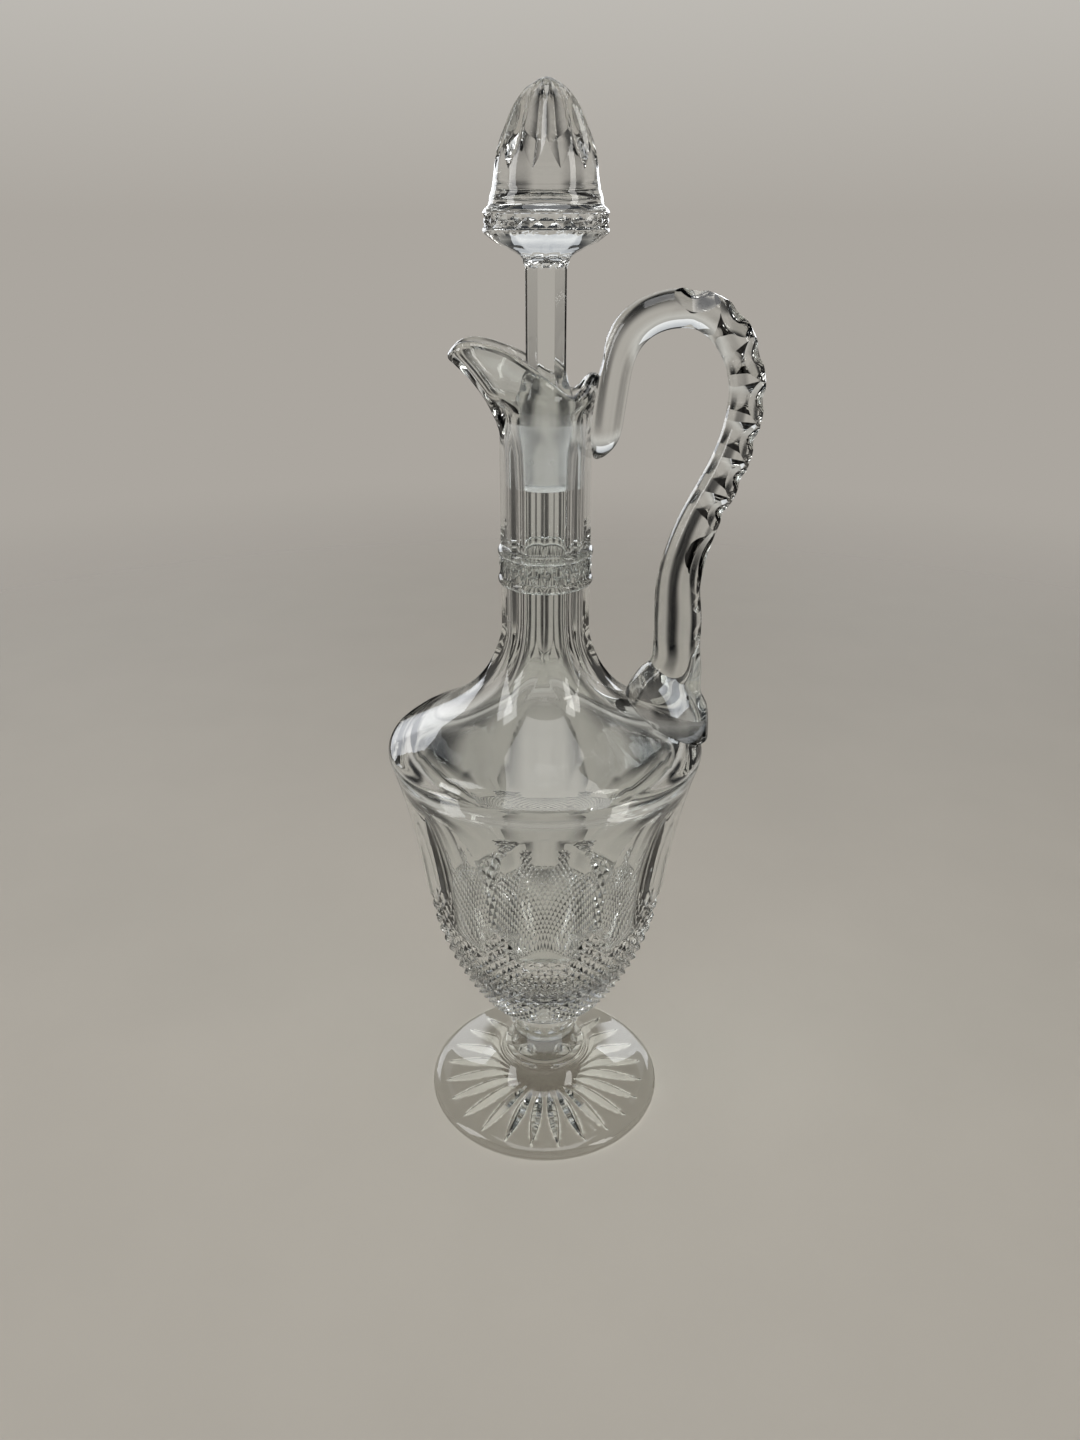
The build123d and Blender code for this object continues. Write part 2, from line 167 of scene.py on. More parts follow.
# %% A closed skin from rows of points
def skin(name, rows, ends, on_edge=None, lean=None, sharp=20):
    """A closed mesh from rows of points in mm, with a point at each end.

    Each square of the grid is cut along the edge that crosses it, or else as lean says.
    """
    count, around = rows.shape[:2]
    points = np.concatenate([rows.reshape(-1, 3), np.array(ends, float)]) * MM
    j, i = np.meshgrid(np.arange(count - 1), np.arange(around), indexing="ij")
    k = (i + 1) % around
    a, b, c, d = j * around + i, j * around + k, (j + 1) * around + k, (j + 1) * around + i
    rising = np.ones(a.shape, bool) if lean is None else lean.copy()
    if on_edge is not None:
        on = on_edge.ravel()
        both_ac, both_bd = on[a] & on[c], on[b] & on[d]
        rising = np.where(both_ac & ~both_bd, True, np.where(both_bd & ~both_ac, False, rising))
    first = np.where(rising[..., None], np.stack([a, b, c], -1), np.stack([a, b, d], -1))
    second = np.where(rising[..., None], np.stack([a, c, d], -1), np.stack([b, c, d], -1))
    i = np.arange(around)
    k, last, end = (i + 1) % around, (count - 1) * around, count * around
    cap_low = np.stack([np.full(around, end), k, i], -1)
    cap_high = np.stack([np.full(around, end + 1), last + i, last + k], -1)
    faces = np.concatenate([first.reshape(-1, 3), second.reshape(-1, 3), cap_low, cap_high])
    p = points[faces]
    if np.einsum("ij,ij->i", p[:, 0], np.cross(p[:, 1], p[:, 2])).sum() < 0:
        faces = faces[:, ::-1]
    piece = add_mesh(name, points, faces.tolist())
    shade_smooth(piece, sharp)
    return piece


def turned(radius, angle, level):
    """Points at a radius, an angle in degrees and a level."""
    a = np.radians(angle)
    return np.stack([radius * np.cos(a), radius * np.sin(a), level * np.ones_like(radius * a)], -1)


def ground_band(piece, around, first_row, last_row):
    """Gives the triangles between two rows the piece's second finish."""
    triangles = piece.data.polygons
    corners = np.empty(len(triangles) * 3, np.int32)
    piece.data.loops.foreach_get("vertex_index", corners)
    lowest_row = corners.reshape(-1, 3).min(1) // around
    slots = ((lowest_row >= first_row) & (lowest_row < last_row)).astype(np.int32)
    triangles.foreach_set("material_index", slots)


# %% [markdown]
# ## Lead crystal and its finishes
# The glass is lead crystal: clear, heavy and bright, with a refractive index near 1.55. Its
# cuts were made by stone wheels and then acid-polished, which leaves them as smooth as
# the rest but very slightly wavy. The waviness could be modelled, but at a few microns high it
# is cheaper as a bump of the right size. The seat and plug of the stopper are ground with fine
# grit and left matt, which the eye reads as a pale, frosted band.

# %% sRGB colours, nodes and empty materials
def linear(code):
    """A linear colour from an sRGB hex value."""
    parts = [int(code[k : k + 2], 16) / 255 for k in (1, 3, 5)]
    return tuple(v / 12.92 if v <= 0.04045 else ((v + 0.055) / 1.055) ** 2.4 for v in parts) + (1.0,)


def add_node(tree, kind, settings=None, links=None):
    """Adds a node, sets its properties and socket values, and links its inputs."""
    node = tree.nodes.new(kind)
    for key, value in (settings or {}).items():
        if isinstance(key, str) and hasattr(node, key):
            setattr(node, key, value)
        else:
            node.inputs[key].default_value = value
    for key, socket in (links or {}).items():
        tree.links.new(socket, node.inputs[key])
    return node


def new_material(name):
    """An empty material, its node tree and the socket that gives places on the object."""
    material = bpy.data.materials.new(name)
    material.use_nodes = True
    tree = material.node_tree
    tree.nodes.clear()
    return material, tree, add_node(tree, "ShaderNodeTexCoord").outputs["Object"]


# %% Polished lead crystal
CRYSTAL_IOR = 1.55
HAZE_MM = 14


def crystal(name, body_colour, clear_share, smoothest, roughest, wave_mm, wave_height_mm, wave_strength):
    """Clear glass with fine waves. Lamps reach through it, so its shadow is pale, as crystal's is."""
    material, tree, place = new_material(name)
    wave_size = {"Scale": 1 / (wave_mm * MM), "Detail": 2.0}
    haze_size = {"Scale": 1 / (HAZE_MM * MM), "Detail": 3.0}
    wave = add_node(tree, "ShaderNodeTexNoise", wave_size, {"Vector": place})
    haze = add_node(tree, "ShaderNodeTexNoise", haze_size, {"Vector": place})
    polish = add_node(
        tree,
        "ShaderNodeMapRange",
        {"From Min": 0.35, "From Max": 0.7, "To Min": smoothest, "To Max": roughest},
        {"Value": haze.outputs["Fac"]},
    )
    bump = add_node(
        tree,
        "ShaderNodeBump",
        {"Strength": wave_strength, "Distance": wave_height_mm * MM},
        {"Height": wave.outputs["Fac"]},
    )
    glass = add_node(
        tree,
        "ShaderNodeBsdfPrincipled",
        {"Base Color": linear(body_colour), "IOR": CRYSTAL_IOR, "Transmission Weight": 1.0},
        {"Roughness": polish.outputs["Result"], "Normal": bump.outputs["Normal"]},
    )
    through = add_node(tree, "ShaderNodeBsdfTransparent", {"Color": linear(clear_share)})
    ray = add_node(tree, "ShaderNodeLightPath")
    mix = add_node(
        tree,
        "ShaderNodeMixShader",
        None,
        {0: ray.outputs["Is Shadow Ray"], 1: glass.outputs["BSDF"], 2: through.outputs["BSDF"]},
    )
    add_node(tree, "ShaderNodeOutputMaterial", None, {"Surface": mix.outputs["Shader"]})
    return material


# Wheel-cut and acid-polished: waves about 5 mm long and a few microns high
polished_crystal = crystal("polished_lead_crystal", "#FBFDFC", "#FAFBFB", 0.0, 0.02, 5.0, 0.02, 0.25)
# Fire-polished, as the handle came from the furnace: longer and lazier waves
drawn_crystal = crystal("fire_polished_lead_crystal", "#FBFDFC", "#FAFBFB", 0.0, 0.015, 9.0, 0.03, 0.25)
# Ground with fine grit to fit, about 0.1 mm grain, drawn at 0.25 mm so that it shows
ground_crystal = crystal("ground_lead_crystal", "#F8FAFA", "#E9ECEC", 0.16, 0.28, 0.25, 0.01, 0.5)
print("finishes:", polished_crystal.name, drawn_crystal.name, ground_crystal.name)


def dress(piece, node, body, finishes):
    """Gives a piece its finishes, puts it in the place of its solid and lets it ride on its body."""
    for finish in finishes:
        piece.data.materials.append(finish)
    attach(piece, body)
    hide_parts(node)
    return piece


# %% [markdown]
# ## The bowl's outline
# The bowl was blown, and its outline is one smooth line from the stem out to the girth, over the
# rounded edge of the shoulder and in to the neck. It could be drawn as a spline by eye, but
# the solids already have it as four Bezier runs, so the same control points are used.

# %% Outline of the outside, from the stem to the lip
STEM_TOP, EDGE_LOW, EDGE_HIGH, NECK_LOW, LIP_LEVEL = 38.0, 143.5, 149.6, 193.0, 243.0
NECK_RADIUS = 13.9
UNDER = [(12.8, STEM_TOP), (24.0, 42.0), (37.5, 66.0), (41.8, 92.0)]
FLARE = [(41.8, 92.0), (44.6, 109.0), (46.0, 126.0), (51.6, EDGE_LOW)]
EDGE = [(51.6, EDGE_LOW), (52.6, 146.5), (52.5, 148.35), (50.2, EDGE_HIGH)]
SLOPE = [(50.2, EDGE_HIGH), (33.0, 159.0), (NECK_RADIUS, 167.8), (NECK_RADIUS, NECK_LOW)]
NECK = [(NECK_RADIUS, NECK_LOW), (NECK_RADIUS, 210.0), (NECK_RADIUS, 226.0), (NECK_RADIUS, LIP_LEVEL)]
outline = np.concatenate([bezier(run)[:-1] for run in (UNDER, FLARE, EDGE, SLOPE)] + [bezier(NECK)])
outline_run = lengths(outline)


def outline_radius(run):
    return np.interp(run, outline_run, outline[:, 0])


def outline_level(run):
    return np.interp(run, outline_run, outline[:, 1])


def run_at(level):
    """How far along the outline a level is."""
    return float(np.interp(level, outline[:, 1], outline_run))


print("outline", round(outline_run[-1], 1), "mm long")

# %% [markdown]
# ## The cutting on the bowl
# Three cuts cover the bowl. Small pyramids, called diamonds, come from two sets of V grooves
# that cross, and they cover its lower half. Eight broad flat flutes with rounded ends are cut
# over them. Eight flat facets run up the neck and end in a curve on the shoulder. The
# diamonds could be a bump, but they glitter because they are real prisms, so the grid has
# a point at every pyramid's tip and corner, and the flutes' and facets' edges are slid to.

# %% Places of the cuts
AROUND = 288
DIAMONDS_AROUND, STEPS_A_HALF = 48, 3
FLUTES, NECK_FACETS = 8, 8
FLUTE_LOW, FLUTE_HIGH, FLUTE_DEPTH = 80.5, 139.0, 2.7
FLUTE_RUN_IN, FLUTE_RUN_OUT = 5.5, 26.0
NECK_FLAT, NECK_TURN = 12.85, -2.5
FACET_LOW, FACET_RUN_OUT, FACET_RISE = 189.0, 14.0, 4.6
DIAMOND_LOW, DIAMOND_HIGH = 45.5, 97.0
# A diamond's height and the depth of its grooves, as shares of its width
DIAMOND_TALL, DIAMOND_DEEP = 1.05, 0.29
degrees_a_column = 360 / AROUND


def diamond_width(run):
    """How wide a diamond is at a place along the outline."""
    return 2 * math.pi * outline_radius(run) / DIAMONDS_AROUND


half_rows = [run_at(DIAMOND_LOW)]
while outline_level(half_rows[-1]) < DIAMOND_HIGH:
    half_rows.append(half_rows[-1] + DIAMOND_TALL * diamond_width(half_rows[-1]) / 2)
half_rows = np.array(half_rows)
print(len(half_rows), "rows of half diamonds, the highest", round(half_rows[-1] - half_rows[-2], 2), "mm tall")


# %% How far the cut surface stands from the axis
def from_centre(angle, sides, turn=0.0):
    """The angle from the middle of the nearest of several equal sides."""
    step = 360 / sides
    return (angle - turn + step / 2) % step - step / 2


def flute_radius(angle, run):
    """The eight flutes: round at the low end, fading out under the shoulder."""
    level = outline_level(run)
    run_in = np.sin(np.clip((level - FLUTE_LOW) / FLUTE_RUN_IN, 0, 1) * math.pi / 2) ** 0.8
    run_out = 1 - (1 - np.clip((FLUTE_HIGH - level) / FLUTE_RUN_OUT, 0, 1)) ** 2.2
    depth = FLUTE_DEPTH * run_in * run_out
    outside = 4 * np.maximum(FLUTE_LOW - level, level - FLUTE_HIGH).clip(0)
    return (outline_radius(run) - depth + outside) / np.cos(np.radians(from_centre(angle, FLUTES)))


def facet_radius(angle, level):
    """The eight facets of the neck, which curve out of the glass on the shoulder."""
    run_out = np.maximum(FACET_LOW - level, 0) / FACET_RUN_OUT
    from_flat = from_centre(angle, NECK_FACETS, NECK_TURN + 180 / NECK_FACETS)
    return (NECK_FLAT + FACET_RISE * run_out**2) / np.cos(np.radians(from_flat))


def groove_share(across, up):
    """How deep two crossing sets of V grooves are, both one unit apart: 1 in a groove, 0 at a tip."""
    first, second = (across + up) / 2, (across - up) / 2
    return 1 - 2 * np.minimum(np.abs(first - np.round(first)), np.abs(second - np.round(second)))


def diamond_groove(angle, run):
    """How deep the diamonds' grooves are at a place, running out in their first and last row."""
    across = angle / 360 * 2 * DIAMONDS_AROUND
    last = len(half_rows) - 1
    up = np.interp(run, half_rows, np.arange(len(half_rows)), left=0, right=last)
    run_out = np.clip(np.minimum(up, last - up), 0, 1)
    return DIAMOND_DEEP * diamond_width(run) * groove_share(across, up) * run_out


def bowl_radius(angle, run):
    """The outside once all three cuts are made: whichever cut goes deepest."""
    plain = outline_radius(run) - diamond_groove(angle, run)
    return np.minimum(plain, np.minimum(flute_radius(angle, run), facet_radius(angle, outline_level(run))))


# %% Rows up the outside of the bowl
PLAIN_ROWS = 5
diamond_steps = np.arange(0, STEPS_A_HALF * (len(half_rows) - 1) + 1) / STEPS_A_HALF
diamond_rows = np.interp(diamond_steps, np.arange(len(half_rows)), half_rows)
row_runs = np.concatenate(
    [
        np.linspace(0, half_rows[0], PLAIN_ROWS, endpoint=False),
        diamond_rows,
        np.arange(half_rows[-1] + 1.1, run_at(EDGE_LOW - 0.3), 1.1),
        np.linspace(run_at(EDGE_LOW), run_at(EDGE_HIGH), 14, endpoint=False),
        np.arange(run_at(EDGE_HIGH), run_at(NECK_LOW + 0.5), 1.3),
        np.linspace(run_at(NECK_LOW + 2), outline_run[-1], 11),
    ]
)
columns, rows = np.meshgrid(np.arange(AROUND, dtype=float), np.arange(len(row_runs), dtype=float))


def at_row(row):
    return np.interp(row, np.arange(len(row_runs)), row_runs)


def flute_edge(column, row):
    angle, run = column * degrees_a_column, at_row(row)
    return flute_radius(angle, run) - outline_radius(run)


def facet_edge(column, row):
    angle, run = column * degrees_a_column, at_row(row)
    return facet_radius(angle, outline_level(run)) - outline_radius(run)


columns, rows, on_flute = slide_to_edge(flute_edge, columns, rows)
slid_columns, slid_rows, on_facet = slide_to_edge(facet_edge, columns, rows)
below_facets = outline_level(at_row(rows)) < 160
columns = np.where(below_facets, columns, slid_columns)
rows = np.where(below_facets, rows, slid_rows)
on_facet &= ~below_facets
angles, runs = columns * degrees_a_column, at_row(rows)
outside = turned(bowl_radius(angles, runs), angles, outline_level(runs))
print("outside of the bowl:", outside.shape[0], "rows;", int(on_flute.sum()), "points slid to the flutes")

# %% [markdown]
# ## The pouring lip
# The lip was pulled out of the hot neck with a tool: it leaves the neck round, opens towards
# a long spout, dips at the sides and rises again at the back against the handle. The
# rim is fire-polished, so its edge is fully round. The solids give its outside as a rule for
# reach by angle and height. Here the inside is that surface moved in by the wall, square to
# the glass, and the rim is a half round between the two.

# %% The lip's outside and the line of its rim
LIP_RISE, LIP_WALL, RIM_THICKER, OCTAGON_FADE = 36.0, 3.2, 1.0, 9.0
rim_line = [
    (-38.0, 259.5), (-34.0, 264.5), (-30.3, 269.6), (-26.5, 273.0), (-20.7, 274.2),
    (-14.4, 273.0), (-7.6, 269.9), (-1.7, 266.2), (4.0, 262.2), (8.8, 260.1),
    (12.6, 261.3), (17.3, 266.3), (21.5, 270.6), (25.5, 274.5),
]  # fmt: skip
column_angles = np.arange(AROUND) * degrees_a_column


def lip_reach(angle, share):
    """How far out the lip's outside is, at an angle and a share of its rise."""
    opening, turn = share**2, np.cos(np.radians(angle))
    spout = 24.4 * ((1 - turn) / 2) ** 20
    back = 5.9 * ((1 + turn) / 2) ** 4
    reach = 13.2 + opening * (2.4 + spout + back)
    octagon = np.minimum(NECK_RADIUS, facet_radius(angle, LIP_LEVEL))
    return octagon + (reach - octagon) * ease(share * LIP_RISE / OCTAGON_FADE)


def rim_share(angle):
    """The share of the lip's rise at which its outside meets the rim, for one angle."""
    shares = np.linspace(0.3, 1, 1400)
    aside = lip_reach(angle, shares) * math.cos(math.radians(angle))
    over = LIP_LEVEL + LIP_RISE * shares - smooth_through(*zip(*rim_line), aside)
    return shares[np.argmax(over > 0)]


rim_shares = np.array([rim_share(a) for a in column_angles])
rim_levels = LIP_LEVEL + LIP_RISE * rim_shares
print("rim from", round(rim_levels.min(), 1), "to", round(rim_levels.max(), 1), "mm")

# %% The lip's walls and its round rim
lip_steps = 24
up = np.linspace(0, 1, lip_steps + 1)[1:, None]
shares = up * (rim_shares - 0.045)[None, :]
lip_angles = np.broadcast_to(column_angles, shares.shape)
# The spout's edge is rolled over a little
rolled = 0.45 * ease((up - 0.8) / 0.2) * ((1 - np.cos(np.radians(lip_angles))) / 2) ** 6
lip_outside = turned(lip_reach(lip_angles, shares) + rolled, lip_angles, LIP_LEVEL + LIP_RISE * shares)


def outward(grid):
    """The direction square to a grid of points, away from the axis."""
    around = np.roll(grid, -1, axis=1) - np.roll(grid, 1, axis=1)
    rise = np.gradient(grid, axis=0)
    square = np.cross(around, rise)
    return square / np.linalg.norm(square, axis=-1, keepdims=True)


lip_out = outward(lip_outside)
wall = (LIP_WALL + RIM_THICKER * ease((up - 0.72) / 0.28))[..., None]
lip_inside = lip_outside - wall * lip_out
rim_tangent = np.roll(lip_outside[-1], -1, axis=0) - np.roll(lip_outside[-1], 1, axis=0)
rim_up = np.cross(lip_out[-1], rim_tangent)
rim_up /= np.linalg.norm(rim_up, axis=-1, keepdims=True)
rim_up *= np.sign(rim_up[:, 2:3])
rim_middle = (lip_outside[-1] + lip_inside[-1]) / 2
rim_rows = [
    rim_middle + wall[-1] / 2 * (math.cos(t) * lip_out[-1] + math.sin(t) * 0.8 * rim_up)
    for t in np.linspace(0, math.pi, 9)[1:-1]
]
print("lip reaches", round(float(lip_outside[..., 0].min()), 1), "mm at the spout")

# %% [markdown]
# ## The inside of the jug
# The inside is as the blower left it: smooth, with a thick floor and walls that follow the
# outside without its cuts. The top of the neck is ground to a shallow cone that the
# stopper's plug fits.

# %% Rows down the inside, from the rim to the floor
LIP_ROWS = 20
SEAT_TOP, SEAT_RADIUS, BORE_RADIUS = 252.0, 8.2, 7.2
INSIDE_EDGE_LOW, FLOOR = 132.0, 47.0
down_lip = np.empty((LIP_ROWS, AROUND, 3))
for column in range(AROUND):
    line = lip_inside[:, column]
    start = np.interp(SEAT_TOP + 0.6, line[:, 2], np.arange(lip_steps))
    picks = np.linspace(lip_steps - 1, start, LIP_ROWS)
    for axis in range(3):
        down_lip[:, column, axis] = np.interp(picks, np.arange(lip_steps), line[:, axis])
lip_radius = np.hypot(down_lip[..., 0], down_lip[..., 1])
flared = SEAT_RADIUS + (lip_radius - SEAT_RADIUS) * ease((down_lip[..., 2] - SEAT_TOP + 0.5) / 9.5)
down_lip[..., :2] *= (flared / lip_radius)[..., None]
down_lip = list(down_lip)
inside_runs = [
    [(0, FLOOR), (20.5, FLOOR), (34.6, 65.9), (37.2, 92)],
    [(37.2, 92), (39.6, 106.4), (41.2, 120.0), (44.2, INSIDE_EDGE_LOW)],
    [(44.2, INSIDE_EDGE_LOW), (46.4, 140.8), (46.0, 146.2), (38.0, EDGE_HIGH)],
    [(38.0, EDGE_HIGH), (26.0, 154.7), (BORE_RADIUS, 166.5), (BORE_RADIUS, NECK_LOW)],
]
inside_line = np.concatenate([bezier(run) for run in inside_runs])[::-1]
inside_run = lengths(inside_line)
edge_top, edge_low = np.interp([-EDGE_HIGH, -INSIDE_EDGE_LOW], -inside_line[:, 1], inside_run)
stops = np.concatenate(
    [
        np.linspace(0, edge_top, 22, endpoint=False),
        np.linspace(edge_top, edge_low, 16, endpoint=False),
        np.linspace(edge_low, inside_run[-1], 30)[:-1],
    ]
)
ground_rows = [(SEAT_RADIUS, SEAT_TOP), (7.95, 247.2), (7.7, 242.35), (7.45, 237.5), (BORE_RADIUS, 232.7)]
bore_rows = [(BORE_RADIUS, level) for level in (226.0, 217.0, 205.0)]
line_rows = np.stack([np.interp(stops, inside_run, inside_line[:, k]) for k in (0, 1)], -1)
inside_rows = ground_rows + bore_rows + line_rows.tolist()
inside = [turned(np.full(AROUND, radius), column_angles, level) for radius, level in inside_rows]
print("inside:", len(down_lip) + len(inside), "rows")

# %% The jug's skin
bottom = [turned(np.full(AROUND, radius), column_angles, STEM_TOP) for radius in (4.0, 8.5)]
jug_rows = np.concatenate([np.array(bottom), outside, lip_outside, np.array(rim_rows + down_lip + inside)])
on_edge = np.zeros(jug_rows.shape[:2], bool)
on_edge[len(bottom) : len(bottom) + len(outside)] = on_flute | on_facet
# The squares on the diamonds are cut from corner to tip, so that each pyramid has four flat sides
half_column = np.arange(AROUND) // STEPS_A_HALF
first_diamond = len(bottom) + PLAIN_ROWS
lean = np.ones((len(jug_rows) - 1, AROUND), bool)
for row in range(first_diamond, first_diamond + len(diamond_rows) - 1):
    lean[row] = (half_column + (row - first_diamond) // STEPS_A_HALF) % 2 == 0
jug = skin("bowl_and_neck", jug_rows, [(0, 0, STEM_TOP), (0, 0, FLOOR)], on_edge, lean)
seat_row = len(bottom) + len(outside) + len(lip_outside) + len(rim_rows) + len(down_lip)
ground_band(jug, AROUND, seat_row, seat_row + len(ground_rows) - 1)
dress(jug, "jug_bowl", "jug", [polished_crystal, ground_crystal])

# %% [markdown]
# ## Foot and stem
# The foot is a solid cone of glass with a rounded edge, clear above and cut beneath with
# a star of 24 mitre rays. The star is seen through the cone, which makes it glitter. Each ray
# is deepest half way out and runs out at both ends, as a large wheel cuts it. The stem
# is a short waisted post that reaches a hair into its neighbours, as they are one glass.

# %% The foot's outline and its star
FOOT_AROUND = 384
RAYS, RAY_IN, RAY_OUT, RAY_DEPTH, RAY_HALF_ANGLE = 24, 9.0, 37.5, 2.2, 40
FOOT_TOP = 19.5
top_line = bezier([(43.3, 4.2), (29.9, 6.5), (18.4, 10.5), (15.3, 17.6)], 60)
top_line = top_line[top_line[:, 0] < 39.3][::2]
edge_round = [
    (41.6, 0.0), (42.6, 0.25), (43.1, 0.8), (43.3, 1.5), (43.22, 2.2),
    (42.93, 2.85), (42.42, 3.45), (41.7, 4.0), (40.85, 4.45), (40.0, 4.77),
]  # fmt: skip
step_round = [
    (15.3, 18.0), (15.1, 18.7), (14.75, 19.25), (14.35, FOOT_TOP), (12.0, FOOT_TOP), (7.0, FOOT_TOP),
]  # fmt: skip
under_line = [(radius, 0.0) for radius in (3.0, 6.0, 8.0, *np.linspace(RAY_IN, RAY_OUT, 31), 39.2, 40.8)]
foot_line = np.array(under_line + edge_round + top_line.tolist() + step_round)
foot_angle = 360 / FOOT_AROUND


def foot_place(row):
    """Radius and level of the foot's outline at a row."""
    return (np.interp(row, np.arange(len(foot_line)), foot_line[:, k]) for k in (0, 1))


def ray_height(column, row):
    """How far a ray is cut up from the underside. Below nought there is no cut."""
    radius, _ = foot_place(row)
    middle, half = (RAY_IN + RAY_OUT) / 2, (RAY_OUT - RAY_IN) / 2
    deep = RAY_DEPTH * (1 - ((radius - middle) / half) ** 2)
    beside = radius * np.abs(np.sin(np.radians(from_centre(column * foot_angle, RAYS, 180 / RAYS))))
    return deep - beside / math.tan(math.radians(RAY_HALF_ANGLE))


foot_columns, foot_rows = np.meshgrid(np.arange(float(FOOT_AROUND)), np.arange(float(len(foot_line))))
slid_columns, slid_rows, on_ray = slide_to_edge(ray_height, foot_columns, foot_rows)
beneath = foot_rows < len(under_line) - 2
foot_columns = np.where(beneath, slid_columns, foot_columns)
foot_rows = np.where(beneath, slid_rows, foot_rows)
foot_radius, foot_level = foot_place(foot_rows)
foot_level = foot_level + np.where(beneath, np.maximum(ray_height(foot_columns, foot_rows), 0), 0)
foot = skin(
    "foot_with_star",
    turned(foot_radius, foot_columns * foot_angle, foot_level),
    [(0, 0, 0), (0, 0, FOOT_TOP)],
    on_ray & beneath,
)
dress(foot, "foot", "jug", [polished_crystal])

# %% Stem, sunk 0.25 mm into the foot and the bowl
STEM_AROUND, STEM_END, STEM_WAIST = 128, 12.8, 9.8
STEM_LOW, STEM_HIGH = FOOT_TOP - 0.25, STEM_TOP + 0.25
share = np.linspace(0, 1, 25)
waist = STEM_END * (1 - share) ** 2 + 2 * STEM_WAIST * share * (1 - share) + STEM_END * share**2
stem_line = [(4.0, STEM_LOW), (9.0, STEM_LOW), *zip(waist, STEM_LOW + (STEM_HIGH - STEM_LOW) * share)]
stem_line += [(9.0, STEM_HIGH), (4.0, STEM_HIGH)]
stem_angles = np.arange(STEM_AROUND) * 360 / STEM_AROUND
stem_rows = [turned(np.full(STEM_AROUND, radius), stem_angles, level) for radius, level in stem_line]
stem = skin("stem_post", np.array(stem_rows), [(0, 0, STEM_LOW), (0, 0, STEM_HIGH)])
dress(stem, "stem", "jug", [polished_crystal])

# %% [markdown]
# ## The ring round the neck
# A trail of hot glass was laid round the neck, and the cutter made it into two beads with
# a band of crossed cuts between. A plain band with a bump would look painted on at this size,
# so the crossed cuts are real grooves in the band.

# %% Neck ring
RING_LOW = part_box("neck_ring")[0][2] / MM
RING_CELLS, RING_STEPS_A_HALF, RING_GROOVE = 24, 4, 0.85
RING_TALL, BEAD_RADIUS, BEAD_CENTRE = 12.0, 1.5, 13.3
BAND_LOW, BAND_HIGH, BAND_RADIUS = 3.2, 8.8, 14.5


def bead(level, low, high):
    """Points round a bead, between two angles from straight out."""
    turn = np.linspace(low, high, 12)
    return list(zip(BEAD_CENTRE + BEAD_RADIUS * np.cos(turn), level + BEAD_RADIUS * np.sin(turn)))


ring_line = np.array(
    [(12.45, 1.0), (12.45, 0.3), (13.0, 0.02)]
    + bead(BEAD_RADIUS, -1.5, 1.25)
    + [(BAND_RADIUS, level) for level in np.linspace(BAND_LOW, BAND_HIGH, 9)]
    + bead(RING_TALL - BEAD_RADIUS, -1.25, 1.5)
    + [(13.0, 11.98), (12.45, 11.7), (12.45, 11.0)]
)
ring_around = RING_CELLS * 2 * RING_STEPS_A_HALF
ring_columns, ring_rows = np.meshgrid(np.arange(ring_around), np.arange(len(ring_line)))
half_cells_up = (ring_line[ring_rows, 1] - BAND_LOW) / (BAND_HIGH - BAND_LOW) * 2
crossed = RING_GROOVE * groove_share(ring_columns / RING_STEPS_A_HALF, half_cells_up)
in_band = (half_cells_up > -0.01) & (half_cells_up < 2.01)
ring_reach = ring_line[ring_rows, 0] - np.where(in_band, crossed, 0)
ring_grid = turned(ring_reach, ring_columns * 360 / ring_around, ring_line[ring_rows, 1] + RING_LOW)


def ring_skin(name, rows, sharp):
    """Closes rows of points into a hoop: the last row joins the first."""
    count, around = rows.shape[:2]
    j, i = np.meshgrid(np.arange(count), np.arange(around), indexing="ij")
    low, high, k = j * around, (j + 1) % count * around, (i + 1) % around
    squares = np.stack([low + i, low + k, high + k, high + i], -1).reshape(-1, 4)
    hoop = add_mesh(name, rows.reshape(-1, 3) * MM, squares.tolist())
    shade_smooth(hoop, sharp)
    return hoop


ring = ring_skin("neck_ring_cut", ring_grid, 24)
dress(ring, "neck_ring", "jug", [polished_crystal])

# %% [markdown]
# ## The handle
# The handle is a rod of hot glass: its end was pressed onto the shoulder as a round pad,
# then it was drawn up, bent over and brought down to the back of the neck. Its back was then cut
# in pairs of hollow facets, with one long, shallow pair and small dents below them. A curve
# with a bevel could make the rod, but not the facets, so the sections are worked out ring by ring.

# %% The rod's path and thickness
HANDLE_REACH, HANDLE_TALL = 50.5, 139.2
# Each station: shares of the reach and of the height, then thickness and width in mm
stations = np.array([
    (0.517, -0.02, 29.0, 24.0), (0.510, 0.04, 29.0, 24.0), (0.507, 0.089, 27.3, 22.6),
    (0.522, 0.125, 23.5, 20.2), (0.558, 0.168, 17.9, 17.5), (0.564, 0.218, 15.2, 15.2),
    (0.562, 0.290, 15.2, 15.2), (0.552, 0.366, 14.0, 14.3), (0.580, 0.434, 13.4, 13.6),
    (0.673, 0.534, 12.4, 12.4), (0.795, 0.628, 11.8, 12.4), (0.866, 0.714, 10.8, 11.9),
    (0.890, 0.793, 10.8, 11.9), (0.842, 0.869, 10.8, 11.9), (0.733, 0.928, 11.3, 11.9),
    (0.606, 0.955, 10.8, 11.9), (0.480, 0.960, 10.8, 11.9), (0.340, 0.950, 10.8, 11.9),
    (0.216, 0.921, 10.8, 11.9), (0.147, 0.876, 10.0, 11.5), (0.109, 0.815, 10.0, 12.0),
    (0.085, 0.750, 10.0, 12.0), (0.061, 0.696, 9.2, 10.6), (0.014, 0.653, 7.0, 7.6),
])  # fmt: skip
spots = np.stack([NECK_RADIUS + HANDLE_REACH * stations[:, 0], EDGE_HIGH + HANDLE_TALL * stations[:, 1]], -1)
